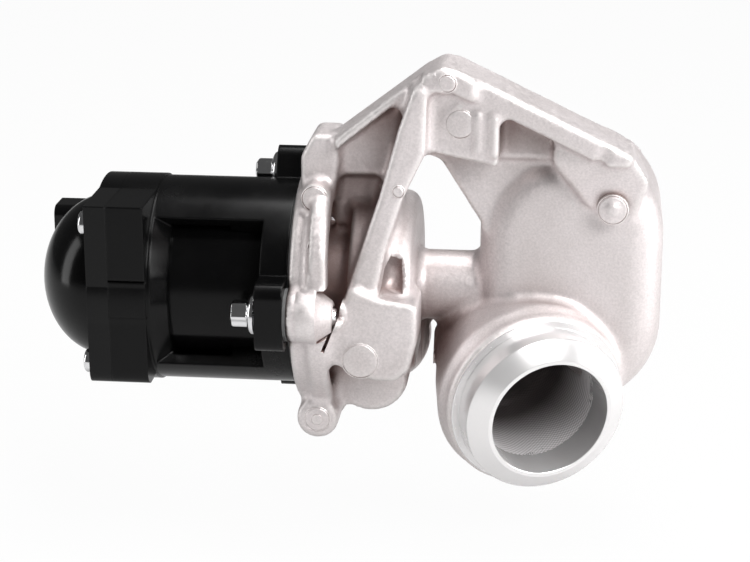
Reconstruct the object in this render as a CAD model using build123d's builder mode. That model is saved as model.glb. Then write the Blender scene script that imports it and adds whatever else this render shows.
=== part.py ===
"""Motor-driven exhaust gas recirculation (EGR) valve with its cast housing.

Frame: millimetres, +Z up. The origin is the centre of the manifold outlet, in the plane of the
machined rear face, whose outward normal is +Y. The valve stem and the motor lie along X.
Inside this file every sketch is placed from the stem axis: across_stem(x) is a plane square to the
stem, x millimetres from the joint between motor and casting, and facing_front(y) is a plane seen
from the front, y millimetres in front of the stem axis.
"""
from build123d import *
import os
from math import atan, cos, degrees, radians, sin

os.makedirs("parts", exist_ok=True)

# ---------------------------------------------------------------- driving dimensions, millimetres
# where the stem axis lies, seen from the manifold outlet
joint_to_outlet = 79.5
stem_to_rear_face = 24.0
stem_below_outlet = 6.0

# fits
running_clearance = 0.04
free_clearance = 0.15
thread_clearance = 0.06

# motor shell, a moulded plastic tube
shell_radius = 30.5
shell_length = 41.2
end_flange_thickness = 10.9
end_flange_radius = 31.0
end_flange_front = 30.5
end_flange_top = 29.5
end_flange_bottom = 24.8
end_flange_corner = 4.5
window_length = 32.0
shell_cavity_radius = 27.0
shell_opening_radius = 13.0
shell_front_wall = 3.2
cover_screw_places = ((-25.0, 23.0), (-25.0, -19.0), (28.0, -18.0))
cover_ear_radius = 5.5
groove_height = 0.6
groove_depth = 0.8
groove_places = (7.3, -3.4)
seal_groove_radius = 28.4
seal_groove_width = 1.6
seal_groove_depth = 1.4
gasket_bore_radius = 16.5
window_from_joint = 9.0
window_top_angle = 51.0
window_bottom_angle = 41.0
window_cone_length = 4.5
lug_length = 8.2
lug_width = 20.0
lug_outer_radius = 40.0
lug_corner = 4.0
gasket_thickness = 0.8

# actuator bolts
bolt_circle = 33.5
bolt_count = 3
bolt_shank_radius = 3.0
bolt_reach = 13.9
bolt_tip = 1.2
bolt_flange_radius = 6.0
bolt_flange_thickness = 1.7
bolt_star_radius = 3.7
bolt_star_length = 5.5
sleeve_wall = 1.2

# end cover
cover_plate_thickness = 6.4
dome_radius = 24.5
dome_height = 19.5
cover_wall = 2.5
cover_screw_radius = 2.0
cover_screw_head_radius = 3.5
cover_screw_head_height = 2.4
cover_screw_length = 14.0
connector_length = 23.2
connector_height = 25.5
connector_depth_across = 13.5
connector_wall = 1.8
connector_corner = 3.0
connector_socket_depth = 15.0
connector_pin_count = 5
connector_pin_width = 1.5
connector_pin_thickness = 0.8
connector_pin_pitch = 4.0
connector_pin_reach = 9.5
connector_inner_side = 24.5
connector_bottom = -12.0
board_thickness = 1.6
board_width = 18.0
board_height = 12.5
board_length = 12.6
hall_size = 4.0

# motor
can_radius = 24.0
can_wall = 1.6
can_front = 4.0
can_end_gap = 0.9
magnet_thickness = 2.8
magnet_length = 23.0
magnet_arc = 130.0
air_gap = 0.7
core_length = 16.0
core_slots = 8
core_slot_width = 4.2
core_hub_radius = 10.5
end_turn_length = 3.5
commutator_radius = 9.5
commutator_length = 3.8
brush_width = 5.0
brush_thickness = 2.6
brush_box_wall = 1.5
brush_spring_wall = 0.6
shaft_radius = 7.0
shaft_wall = 1.2
bush_wall = 3.0
bush_length = 5.0

# lead screw and valve
screw_radius = 3.5
screw_square = 4.6
nut_length = 16.0
stem_radius = 3.0
stem_tail_radius = 2.0
stem_tail_length = 6.0
disc_radius = 9.8
disc_gap = 0.1
seat_bore_radius = 8.0
seat_outer_radius = 11.0
seat_length = 3.2
seat_land = 1.2
spring_radius = 9.5
spring_wire = 1.8
spring_turns = 3
retainer_radius = 11.5
retainer_thickness = 1.6
carrier_radius = 12.0
carrier_flange_radius = 15.9
carrier_flange_thickness = 1.6
carrier_length = 15.6
guide_bush_radius = 5.8
guide_bush_length = 11.0
seal_radius = 6.5
seal_length = 3.6
shield_radius = 11.0
shield_thickness = 0.8

# casting: motor flange
flange_plate_radius = 34.5
flange_rib_radius = 36.5
flange_plate_thickness = 5.5
flange_depth = 11.0
flange_rib_wall = 4.5
bolt_boss_radius = 7.6
bolt_boss_length = 8.0
bolt_boss_tip_radius = 4.2
carrier_recess_depth = 5.0

# casting: valve body, inlet and neck
body_radius = 28.0
body_start = 16.0
body_end = 34.5
chamber_radius = 20.0
neck_radius = 10.4
neck_bore_radius = 7.6
inlet_x = 22.0
inlet_z = -22.5
inlet_barrel_radius = 14.8
inlet_barrel_front = 16.0
inlet_bore_radius = 8.0
inlet_ear_dx = 15.5
inlet_ear_dz = 13.5
inlet_ear_radius = 6.2
inlet_flange_thickness = 8.0
mount_thread_radius = 2.5
mount_thread_depth = 14.0

# casting: mixing drum and outlet
drum_radius = 26.5
drum_top = 19.0
drum_bottom = -7.0
drum_front = 16.0
drum_front_round = 10.0
drum_wall = 5.0
chamber_top = 14.0
chamber_bottom = -2.0
outlet_bore_radius = 19.0
outlet_wall = 6.0
milled_depth = 5.0
outlet_bolt_spacing = 68.0
o_ring_radius = 22.8
o_ring_section = 1.6
o_ring_groove_width = 3.4
o_ring_groove_depth = 2.4

# casting: hose spigot
spigot_end = (75.3, 36.0, -28.0)
spigot_direction = (0.39, -0.91, -0.145)
spigot_bore_radius = 17.5
spigot_land = 1.3
spigot_radius = 24.0
spigot_chamfer_length = 3.5
spigot_length = 11.0
spigot_collar_radius = 27.0
spigot_collar_length = 3.5
spigot_tube_length = 27.0
spigot_tube_end_radius = 21.0
spigot_dead_end_radius = 17.0

# casting: bracket
bracket_back = 8.0
web_thickness = 5.0
web_step = 5.0
pocket_front = 15.0
rail_end_front = 24.0
recess_depth = 3.0
rim_front = 22.0
bar_front = 27.0
rail_front = 28.0
pad_front = 30.0
rib_front = 31.0
front_plate_front = 33.0
front_plate_back_edge = 15.0
core_pocket_floor = 22.5
ear_boss_front = 22.0
mark_height = 0.4
mark_depth = 3.0

# ---------------------------------------------------------------- places worked out from the sizes
# along the stem, from the joint between motor and casting
shell_front = -gasket_thickness
end_flange_face = shell_front - shell_length
end_flange_back = end_flange_face - end_flange_thickness
cover_back = end_flange_back - cover_plate_thickness
lug_back = shell_front - lug_length
window_right = -window_from_joint
window_left = window_right - window_length
can_back = end_flange_back + can_end_gap
can_bore = can_radius - can_wall
magnet_back = can_back + 8.5
core_back = can_back + 12.0
core_front = core_back + core_length
core_radius = can_bore - magnet_thickness - air_gap
commutator_back = can_back + 3.7
front_plate_back = core_front + end_turn_length + 1.0
front_plate_thickness = 3.5
front_hub_radius = 12.5
spring_seat = front_plate_back + 7.5
bush_radius = shaft_radius + bush_wall
shaft_front = front_plate_back + bush_length + 0.4
shaft_back = end_flange_back - bush_length - 0.6
rear_plate_thickness = 3.0
rear_plate_radius = can_radius + 1.5
rear_hub_back = shaft_back - 2.5
carrier_front = carrier_recess_depth - carrier_flange_thickness
carrier_end = carrier_front + carrier_length
guide_bush_start = carrier_front + seal_length
chamber_start = carrier_end + shield_thickness + 0.2
chamber_end = body_end - 4.0
neck_end = joint_to_outlet - drum_radius + drum_wall + 2.0
stem_end = chamber_end - 2.5
stem_start = -3.0
retainer_back = carrier_front - 0.8 - retainer_thickness
collet_radius = 4.4
collet_start = retainer_back - 0.4
collet_length = 2.4
collet_lip_start = collet_start + 0.8
collet_lip_end = collet_start + 1.6
stem_groove_radius = stem_radius - 0.3
spring_guide_radius = spring_radius - spring_wire / 2 - 0.4
screw_square_start = end_flange_back + 0.9
screw_tail_start = rear_hub_back - 3.0
screw_end = screw_tail_start - 4.0
boss_cone_length = bolt_reach - bolt_tip - bolt_boss_length
boss_cone_angle = degrees(atan((bolt_boss_radius - bolt_boss_tip_radius) / boss_cone_length))
spigot_bore_end = spigot_length + spigot_collar_length + spigot_tube_length
sleeve_radius = bolt_shank_radius + free_clearance + sleeve_wall
sleeve_back = lug_back - 0.3
bolt_pocket_back = sleeve_back - bolt_flange_thickness - bolt_star_length - 1.5

# manifold outlet, with its outward normal along +Y
outlet_face = Plane(origin=(0, 0, 0), x_dir=(-1, 0, 0), z_dir=(0, 1, 0))


def across_stem(x=0.0):
    """Plane square to the stem axis, local x along +Y and local y along +Z."""
    origin = (x - joint_to_outlet, -stem_to_rear_face, -stem_below_outlet)
    return Plane(origin=origin, x_dir=(0, 1, 0), z_dir=(1, 0, 0))


def facing_front(y=0.0):
    """Plane seen from the front, y in front of the stem axis, local x along +X, local y along +Z."""
    origin = (-joint_to_outlet, -stem_to_rear_face - y, -stem_below_outlet)
    return Plane(origin=origin, x_dir=(1, 0, 0), z_dir=(0, -1, 0))


stem_axis = Axis((-joint_to_outlet, -stem_to_rear_face, -stem_below_outlet), (1, 0, 0))


def around_stem(angle):
    """Plane through the stem axis, local x along the stem, local y outward at the given angle."""
    origin = (-joint_to_outlet, -stem_to_rear_face, -stem_below_outlet)
    return Plane(origin=origin, x_dir=(1, 0, 0), z_dir=(0, -sin(radians(angle)), cos(radians(angle))))


def half_section(*points):
    """Closed half section of a turned piece, as (place along the stem, radius) points."""
    with BuildSketch(facing_front()) as section:
        with BuildLine():
            Polyline(*points, close=True)
        make_face()
    return section.sketch


def outline(front, *points):
    """Closed straight-sided outline in a plane seen from the front."""
    with BuildSketch(facing_front(front)) as shape:
        with BuildLine():
            Polyline(*points, close=True)
        make_face()
    return shape.sketch


def ring(x, outer, inner):
    """Annulus square to the stem."""
    with BuildSketch(across_stem(x)) as shape:
        Circle(outer)
        if inner > 0:
            Circle(inner, mode=Mode.SUBTRACT)
    return shape.sketch


# ================================================================ casting, one aluminium piece
def flange_outline(x, radius):
    """Motor flange outline: a round plate with a lobe at each bolt."""
    with BuildSketch(across_stem(x)) as shape:
        Circle(radius)
        with PolarLocations(bolt_circle, bolt_count, start_angle=180):
            Circle(bolt_boss_radius)
    return shape.sketch


with BuildPart() as flange_form:
    extrude(flange_outline(0, flange_plate_radius), amount=flange_plate_thickness)
    extrude(flange_outline(flange_plate_thickness, flange_rib_radius),
            amount=flange_depth - flange_plate_thickness)
    extrude(ring(flange_plate_thickness, flange_rib_radius - flange_rib_wall, 0),
            amount=flange_depth, mode=Mode.SUBTRACT)
    with BuildSketch(across_stem()):
        with PolarLocations(bolt_circle, bolt_count, start_angle=180):
            Circle(bolt_boss_radius)
    extrude(amount=bolt_boss_length)
    with BuildSketch(across_stem(bolt_boss_length)):
        with PolarLocations(bolt_circle, bolt_count, start_angle=180):
            Circle(bolt_boss_radius)
    extrude(amount=boss_cone_length, taper=boss_cone_angle)

# tower over the flange, from which the bracket's rim climbs
with BuildPart() as tower_form:
    extrude(outline(16, (1.5, 28), (1.5, 42), (5, 48.5), (12.5, 48.5), (12.5, 40), (11, 28)),
            amount=-18)
    fillet(tower_form.edges().filter_by(Axis.Y).sort_by(Axis.Z)[-4:], 1.5)

# bracket: a thin web with a rim, a top rail, a bar and a slanting rib standing on its front
with BuildPart() as bracket_form:
    extrude(outline(bracket_back, (10, 36), (10, 48), (37.5, 69), (43, 71.8), (47, 71), (96.5, 47.3),
                    (101, 38), (100, 20), (53.5, 20), (53.6, 22.7), (41.6, 41.5), (37, 43),
                    (31, 44), (27, 36)), amount=web_thickness)
    # the web's lower end, set back between the motor flange and the valve body
    extrude(outline(bracket_back - web_step, (10, 38), (10, 20), (30, 20), (30, 38)), amount=web_step)
    extrude(outline(bracket_back, (12, 48.5), (37.5, 69), (43, 71.8), (41, 66.5), (36, 64.5),
                    (12, 45.2)), amount=rim_front - bracket_back)
    extrude(outline(bracket_back, (40, 70.5), (43, 71.8), (47, 71), (96.5, 47.3), (94, 41.5),
                    (46, 64.6), (40, 65)), amount=rail_front - bracket_back)
    extrude(outline(bracket_back, (36, 65), (37.5, 69), (43, 71.8), (47, 71), (52, 68.6),
                    (52, 61.8), (46, 64.6)), amount=pad_front - bracket_back)
    extrude(outline(bracket_back, (34, 66), (46, 65), (58.5, 59.4), (58.5, 43), (53.6, 44.1),
                    (39.6, 47), (33, 48)), amount=bar_front - bracket_back)
    extrude(outline(bracket_back, (58, 59.4), (76, 51), (76, 42.6), (58, 43)),
            amount=pocket_front - bracket_back)
    extrude(outline(bracket_back, (74, 54.5), (96.5, 46), (101, 38), (97, 26), (84, 30),
                    (74, 43)), amount=rail_end_front - bracket_back)
    extrude(outline(bracket_back, (35.1, 66), (39, 65), (38.6, 47.3), (32.4, 34.2), (27.7, 19.4),
                    (24.9, 6), (16, 5.4), (25.5, 34), (31, 54.2)), amount=rib_front - bracket_back)

# valve body with its front plate, seen from the front
with BuildPart() as body_form:
    revolve(half_section((body_start, 0), (body_start, body_radius), (body_end, body_radius),
                         (body_end, 0)), axis=stem_axis)
    fillet(body_form.edges().filter_by(GeomType.CIRCLE).sort_by(Axis.X)[-1], 4)
    extrude(ring(0.5, carrier_radius + 6, 0), amount=body_start)
    extrude(outline(front_plate_back_edge, (10.4, -9.5), (14.4, -0.6), (16.9, 7.9), (25.1, 5.2),
                    (35.4, 3.7), (36.8, 3), (36.6, -8), (34.6, -16.2), (30.6, -19.6),
                    (24.8, -19.8), (17.6, -17.6), (12.4, -14.3)),
            amount=front_plate_front - front_plate_back_edge)

# exhaust inlet: a barrel toward the rear face, with a two-hole flange
with BuildPart() as inlet_form:
    with BuildSketch(facing_front(inlet_barrel_front)):
        with Locations((inlet_x, inlet_z)):
            Circle(inlet_barrel_radius)
    extrude(amount=-(inlet_barrel_front + stem_to_rear_face))
    fillet(inlet_form.edges().filter_by(GeomType.CIRCLE).sort_by(Axis.Y)[0], 4)
    with BuildSketch(facing_front(-stem_to_rear_face + inlet_flange_thickness)):
        with Locations((inlet_x - inlet_ear_dx, inlet_z - inlet_ear_dz),
                       (inlet_x + inlet_ear_dx, inlet_z + inlet_ear_dz)):
            Circle(inlet_ear_radius)
        make_hull()
    extrude(amount=-inlet_flange_thickness)
    with BuildSketch(facing_front(ear_boss_front)):
        with Locations((inlet_x - inlet_ear_dx, inlet_z - inlet_ear_dz)):
            Circle(inlet_ear_radius)
    extrude(amount=-(ear_boss_front + stem_to_rear_face))

# mixing drum
with BuildPart() as drum_form:
    with BuildSketch(facing_front(drum_front)):
        with Locations((joint_to_outlet, drum_top), (joint_to_outlet, drum_bottom)):
            Circle(drum_radius)
        make_hull()
    extrude(amount=-(drum_front + stem_to_rear_face))
    fillet(drum_form.edges().group_by(Axis.Y)[0], drum_front_round)

# hose spigot with its tube back into the drum
spigot_plane = Plane(
    origin=(spigot_end[0] - joint_to_outlet, -spigot_end[1] - stem_to_rear_face,
            spigot_end[2] - stem_below_outlet),
    x_dir=(-spigot_direction[1], spigot_direction[0], 0), z_dir=spigot_direction)
spigot_axis = Axis(spigot_plane.origin, spigot_plane.z_dir)
spigot_section_plane = Plane(origin=spigot_plane.origin, x_dir=spigot_plane.z_dir,
                             z_dir=-spigot_plane.y_dir)


def spigot_section(*points):
    """Closed half section about the spigot axis, as (distance back from its end, radius) points."""
    with BuildSketch(spigot_section_plane) as section:
        with BuildLine():
            Polyline(*[(-distance, radius) for distance, radius in points], close=True)
        make_face()
    return section.sketch


with BuildPart() as spigot_form:
    revolve(spigot_section(
        (0, 0), (0, spigot_bore_radius + spigot_land), (spigot_chamfer_length, spigot_radius),
        (spigot_length, spigot_radius), (spigot_length, spigot_collar_radius),
        (spigot_length + spigot_collar_length, spigot_collar_radius),
        (spigot_length + spigot_collar_length + 3, spigot_collar_radius + 1),
        (spigot_length + spigot_collar_length + spigot_tube_length, spigot_tube_end_radius),
        (spigot_length + spigot_collar_length + spigot_tube_length, 0)), axis=spigot_axis)
    with Locations(spigot_plane.offset(-spigot_length - spigot_collar_length - spigot_tube_length)):
        Sphere(spigot_tube_end_radius)


def drum_outline(front, radius, top, bottom):
    """Round-ended outline of the mixing drum or its chamber."""
    with BuildSketch(facing_front(front)) as shape:
        with Locations((joint_to_outlet, top), (joint_to_outlet, bottom)):
            Circle(radius)
        make_hull()
    return shape.sketch


def front_disc(front, x, z, radius):
    """Round end of a boss, seen from the front."""
    with BuildSketch(facing_front(front)) as shape:
        with Locations((x, z)):
            Circle(radius)
    return shape.sketch


with BuildPart() as valve_housing:
    add(flange_form.part)
    add(tower_form.part)
    add(bracket_form.part)
    add(body_form.part)
    add(inlet_form.part)
    add(drum_form.part)
    add(spigot_form.part)
    # neck tube between the valve body and the drum
    revolve(half_section((body_end - 4, 0), (body_end - 4, neck_radius), (neck_end, neck_radius),
                         (neck_end, 0)), axis=stem_axis)
    # the body's back, milled off level with the ports' faces
    with BuildSketch(outlet_face):
        with Locations((joint_to_outlet - (body_start + body_end) / 2, 0)):
            Rectangle(body_end - body_start + 4, 2 * body_radius + 4)
    extrude(amount=milled_depth, mode=Mode.SUBTRACT)
    # pads and bosses on the front
    extrude(front_disc(pad_front + mark_height, 43.5, 66.6, 2.3), amount=-mark_depth)
    extrude(front_disc(bar_front + mark_height, 47, 56, 4.1), amount=-mark_depth)
    extrude(front_disc(front_plate_front + mark_height, 20.5, -13.3, 5.1), amount=-mark_depth)
    extrude(front_disc(ear_boss_front + mark_height, inlet_x - inlet_ear_dx, inlet_z - inlet_ear_dz,
                       3.7), amount=-mark_depth)
    extrude(front_disc(21, 91, 30.2, 4.8), amount=-12)
    extrude(front_disc(23, 6.5, 31.6, 3.8), amount=-10)
    # half-round boss that ends the rail, slanting down into the drum, and the recess beside it
    extrude(outline(rail_end_front, (90.2, 50), (96.3, 47.2), (95, 42.5), (89.3, 35.5), (86, 39)),
            amount=rail_front - rail_end_front)
    extrude(outline(rail_end_front - recess_depth, (85.6, 46.5), (87.6, 49.6), (89.4, 49), (88.5, 43.5),
                    (86.5, 42.8)), amount=rail_front, mode=Mode.SUBTRACT)
    # cored pocket between the slanting rib, the front plate and the body's front
    extrude(outline(core_pocket_floor, (26, 5.8), (27.4, 12.5), (28.6, 15.6), (31.5, 14.2), (32, 5)),
            amount=front_plate_front - core_pocket_floor, mode=Mode.SUBTRACT)
    # seat for the guide carrier, valve chamber, seat ring and neck
    extrude(ring(0, carrier_flange_radius + free_clearance, 0), amount=carrier_recess_depth,
            mode=Mode.SUBTRACT)
    extrude(ring(0, carrier_radius, 0), amount=chamber_start, mode=Mode.SUBTRACT)
    extrude(ring(chamber_start, chamber_radius, 0), amount=chamber_end - chamber_start,
            mode=Mode.SUBTRACT)
    extrude(ring(chamber_end, seat_outer_radius, 0), amount=seat_length, mode=Mode.SUBTRACT)
    extrude(ring(chamber_end, neck_bore_radius, 0), amount=neck_end - chamber_end,
            mode=Mode.SUBTRACT)
    # mixing chamber and manifold outlet
    extrude(drum_outline(drum_front - drum_wall, drum_radius - drum_wall, chamber_top,
                         chamber_bottom),
            amount=-(drum_front - drum_wall + stem_to_rear_face - outlet_wall),
            mode=Mode.SUBTRACT)
    with BuildSketch(outlet_face):
        Circle(outlet_bore_radius)
    extrude(amount=-outlet_wall, mode=Mode.SUBTRACT)
    with BuildSketch(outlet_face):
        Circle(o_ring_radius + o_ring_groove_width / 2)
        Circle(o_ring_radius - o_ring_groove_width / 2, mode=Mode.SUBTRACT)
    extrude(amount=-o_ring_groove_depth, mode=Mode.SUBTRACT)
    with BuildSketch(outlet_face):
        with GridLocations(1, outlet_bolt_spacing, 1, 2):
            Circle(mount_thread_radius)
    extrude(amount=-mount_thread_depth, mode=Mode.SUBTRACT)
    # hose spigot bore
    revolve(spigot_section((-1, 0), (-1, spigot_bore_radius), (spigot_bore_end, spigot_bore_radius),
                           (spigot_bore_end, 0)), axis=spigot_axis, mode=Mode.SUBTRACT)
    with Locations(spigot_plane.offset(-spigot_bore_end)):
        Sphere(spigot_dead_end_radius, mode=Mode.SUBTRACT)
    # exhaust inlet
    with BuildSketch(facing_front(-stem_to_rear_face)):
        with Locations((inlet_x, inlet_z)):
            Circle(inlet_bore_radius)
    extrude(amount=stem_to_rear_face + inlet_barrel_front - 8, mode=Mode.SUBTRACT)
    with BuildSketch(facing_front(-stem_to_rear_face)):
        with Locations((inlet_x - inlet_ear_dx, inlet_z - inlet_ear_dz),
                       (inlet_x + inlet_ear_dx, inlet_z + inlet_ear_dz)):
            Circle(mount_thread_radius)
    extrude(amount=mount_thread_depth, mode=Mode.SUBTRACT)
    # threaded holes for the actuator bolts
    with BuildSketch(across_stem()):
        with PolarLocations(bolt_circle, bolt_count, start_angle=180):
            Circle(bolt_shank_radius + thread_clearance)
    extrude(amount=bolt_reach, mode=Mode.SUBTRACT)
valve_housing.part.label = "valve_housing"
export_step(valve_housing.part, "parts/valve_housing.step")

# ================================================================ valve
with BuildPart() as seat_ring:
    revolve(half_section(
        (chamber_end, seat_bore_radius + seat_land), (chamber_end, seat_outer_radius),
        (chamber_end + seat_length, seat_outer_radius), (chamber_end + seat_length, seat_bore_radius),
        (chamber_end + seat_land, seat_bore_radius)), axis=stem_axis)
seat_ring.part.label = "seat_ring"
export_step(seat_ring.part, "parts/seat_ring.step")

# the disc's cone lies parallel to the seat's, disc_gap before it
seat_cone_sum = chamber_end + seat_bore_radius + seat_land - disc_gap
disc_face = seat_cone_sum - seat_bore_radius + 0.4
with BuildPart() as valve_disc:
    revolve(half_section(
        (stem_end, stem_tail_radius), (stem_end, disc_radius - 1.3), (stem_end + 0.5, disc_radius),
        (seat_cone_sum - disc_radius, disc_radius), (disc_face, seat_bore_radius - 0.4),
        (disc_face, stem_tail_radius)), axis=stem_axis)
valve_disc.part.label = "valve_disc"
export_step(valve_disc.part, "parts/valve_disc.step")

with BuildPart() as valve_stem:
    revolve(half_section(
        (stem_start - stem_tail_length, 0), (stem_start - stem_tail_length, stem_tail_radius),
        (stem_start, stem_tail_radius), (stem_start, stem_radius), (collet_lip_start, stem_radius),
        (collet_lip_start, stem_groove_radius), (collet_lip_end, stem_groove_radius),
        (collet_lip_end, stem_radius), (stem_end, stem_radius), (stem_end, stem_tail_radius),
        (disc_face, stem_tail_radius), (disc_face, 0)), axis=stem_axis)
valve_stem.part.label = "valve_stem"
export_step(valve_stem.part, "parts/valve_stem.step")

with BuildPart() as guide_carrier:
    revolve(half_section(
        (carrier_front, seal_radius), (carrier_front, carrier_flange_radius),
        (carrier_recess_depth, carrier_flange_radius), (carrier_recess_depth, carrier_radius),
        (carrier_end, carrier_radius), (carrier_end, stem_radius + 0.5),
        (guide_bush_start + guide_bush_length, stem_radius + 0.5),
        (guide_bush_start + guide_bush_length, guide_bush_radius),
        (guide_bush_start, guide_bush_radius), (guide_bush_start, seal_radius)), axis=stem_axis)
guide_carrier.part.label = "guide_carrier"
export_step(guide_carrier.part, "parts/guide_carrier.step")

with BuildPart() as stem_bush:
    extrude(ring(guide_bush_start, guide_bush_radius, stem_radius + running_clearance),
            amount=guide_bush_length)
stem_bush.part.label = "stem_bush"
export_step(stem_bush.part, "parts/stem_bush.step")

with BuildPart() as stem_seal:
    revolve(half_section(
        (carrier_front, stem_radius + 1.2), (carrier_front, seal_radius),
        (guide_bush_start, seal_radius), (guide_bush_start, stem_radius + 1.2),
        (guide_bush_start - 1.2, stem_radius + 1.2),
        (guide_bush_start - 1.8, stem_radius + running_clearance),
        (guide_bush_start - 2.2, stem_radius + running_clearance),
        (guide_bush_start - 2.8, stem_radius + 1.2)), axis=stem_axis)
stem_seal.part.label = "stem_seal"
export_step(stem_seal.part, "parts/stem_seal.step")

with BuildPart() as deposit_shield:
    extrude(ring(carrier_end, shield_radius, stem_radius + 0.4), amount=shield_thickness)
deposit_shield.part.label = "deposit_shield"
export_step(deposit_shield.part, "parts/deposit_shield.step")

with BuildPart() as spring_retainer:
    revolve(half_section(
        (retainer_back, collet_radius), (retainer_back, spring_guide_radius - 0.9),
        (retainer_back - 0.8, spring_guide_radius - 0.9), (retainer_back - 0.8, spring_guide_radius),
        (retainer_back, spring_guide_radius), (retainer_back, retainer_radius),
        (retainer_back + retainer_thickness, retainer_radius),
        (retainer_back + retainer_thickness, collet_radius)), axis=stem_axis)
spring_retainer.part.label = "spring_retainer"
export_step(spring_retainer.part, "parts/spring_retainer.step")

# split collets that lock the retainer in the stem's groove
with BuildPart() as retainer_collets:
    revolve(half_section(
        (collet_start, stem_radius), (collet_start, collet_radius),
        (collet_start + collet_length, collet_radius), (collet_start + collet_length, stem_radius),
        (collet_lip_end, stem_radius), (collet_lip_end, stem_groove_radius),
        (collet_lip_start, stem_groove_radius), (collet_lip_start, stem_radius)), axis=stem_axis)
    with BuildSketch(across_stem(collet_start)):
        Rectangle(0.6, 2 * collet_radius + 1)
    extrude(amount=collet_length, mode=Mode.SUBTRACT)
retainer_collets.part.label = "retainer_collets"
export_step(retainer_collets.part, "parts/retainer_collets.step")

# return spring, closed between the front bearing plate and the retainer
with BuildPart() as return_spring:
    spring_length = retainer_back - spring_seat - spring_wire
    spring_start = across_stem(spring_seat + spring_wire / 2).origin
    with BuildLine():
        coil = Helix(pitch=spring_length / spring_turns, height=spring_length, radius=spring_radius,
                     center=spring_start, direction=(1, 0, 0))
    with BuildSketch(Plane(origin=coil @ 0, z_dir=coil % 0)):
        Circle(spring_wire / 2)
    sweep(path=coil, is_frenet=True)
return_spring.part.label = "return_spring"
export_step(return_spring.part, "parts/return_spring.step")

with BuildPart() as lead_screw:
    revolve(half_section(
        (screw_square_start, 0), (screw_square_start, screw_radius), (stem_start, screw_radius),
        (stem_start, stem_tail_radius), (stem_start - stem_tail_length, stem_tail_radius),
        (stem_start - stem_tail_length, 0)), axis=stem_axis)
    with BuildSketch(across_stem(screw_tail_start)):
        Rectangle(screw_square, screw_square)
    extrude(amount=screw_square_start - screw_tail_start)
    extrude(ring(screw_end, stem_tail_radius, 0), amount=screw_tail_start - screw_end)
lead_screw.part.label = "lead_screw"
export_step(lead_screw.part, "parts/lead_screw.step")

with BuildPart() as magnet_holder:
    revolve(half_section(
        (screw_end, stem_tail_radius), (screw_end, 3.2), (screw_tail_start - 0.6, 3.2),
        (screw_tail_start - 0.6, 5), (screw_tail_start, 5), (screw_tail_start, stem_tail_radius)),
        axis=stem_axis)
magnet_holder.part.label = "magnet_holder"
export_step(magnet_holder.part, "parts/magnet_holder.step")

with BuildPart() as sensor_magnet:
    extrude(ring(screw_end + 0.2, 5, 3.2), amount=screw_tail_start - screw_end - 0.8)
sensor_magnet.part.label = "sensor_magnet"
export_step(sensor_magnet.part, "parts/sensor_magnet.step")

# ================================================================ rotor
with BuildPart() as rotor_shaft:
    extrude(ring(shaft_back, shaft_radius, shaft_radius - shaft_wall), amount=shaft_front - shaft_back)
    chamfer(rotor_shaft.edges().filter_by(GeomType.CIRCLE).filter_by(
        lambda edge: edge.radius > shaft_radius - 0.01), 0.4)
rotor_shaft.part.label = "rotor_shaft"
export_step(rotor_shaft.part, "parts/rotor_shaft.step")

with BuildPart() as rotor_nut:
    extrude(ring(core_back, shaft_radius - shaft_wall, screw_radius + thread_clearance),
            amount=nut_length)
rotor_nut.part.label = "rotor_nut"
export_step(rotor_nut.part, "parts/rotor_nut.step")

with BuildPart() as rotor_core:
    with BuildSketch(across_stem(core_back)):
        Circle(core_radius)
        Circle(shaft_radius, mode=Mode.SUBTRACT)
        with PolarLocations((core_hub_radius + core_radius) / 2, core_slots):
            Rectangle(core_radius - core_hub_radius - 2.4, core_slot_width, mode=Mode.SUBTRACT)
        with PolarLocations(core_radius, core_slots):
            Rectangle(4, core_slot_width / 3, mode=Mode.SUBTRACT)
    extrude(amount=core_length)
rotor_core.part.label = "rotor_core"
export_step(rotor_core.part, "parts/rotor_core.step")

# windings: the wire packed in each slot, and the rounded end turns that join them
with BuildPart() as rotor_windings:
    slot_fill_length = core_radius - core_hub_radius - 2.4 - 2 * free_clearance
    with BuildSketch(across_stem(core_back - 1)):
        with PolarLocations((core_hub_radius + core_radius) / 2, core_slots):
            Rectangle(slot_fill_length, core_slot_width - 2 * free_clearance)
    extrude(amount=core_length + 2)
    for end_face, outward in ((core_back, -1), (core_front, 1)):
        start = end_face + outward * free_clearance
        end = end_face + outward * end_turn_length
        round_start = end - outward * 1.4
        revolve(half_section(
            (start, commutator_radius), (start, core_radius - 1.4), (round_start, core_radius - 1.4),
            (end, core_radius - 2.8), (end, commutator_radius + 1), (round_start, commutator_radius)),
            axis=stem_axis)
rotor_windings.part.label = "rotor_windings"
export_step(rotor_windings.part, "parts/rotor_windings.step")

with BuildPart() as commutator:
    extrude(ring(commutator_back, commutator_radius, shaft_radius), amount=commutator_length)
    with BuildSketch(across_stem(commutator_back)):
        with PolarLocations(commutator_radius, core_slots):
            Rectangle(2, 0.5)
    extrude(amount=commutator_length, mode=Mode.SUBTRACT)
commutator.part.label = "commutator"
export_step(commutator.part, "parts/commutator.step")

# ================================================================ motor, fixed pieces
with BuildPart() as yoke_can:
    revolve(half_section(
        (can_back, can_radius - 13), (can_back, can_radius - 1.5), (can_back + 0.45, can_radius - 0.45),
        (can_back + 1.5, can_radius), (-can_front, can_radius), (-can_front, can_bore),
        (can_back + can_wall, can_bore), (can_back + can_wall, can_radius - 13)), axis=stem_axis)
yoke_can.part.label = "yoke_can"
export_step(yoke_can.part, "parts/yoke_can.step")

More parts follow.
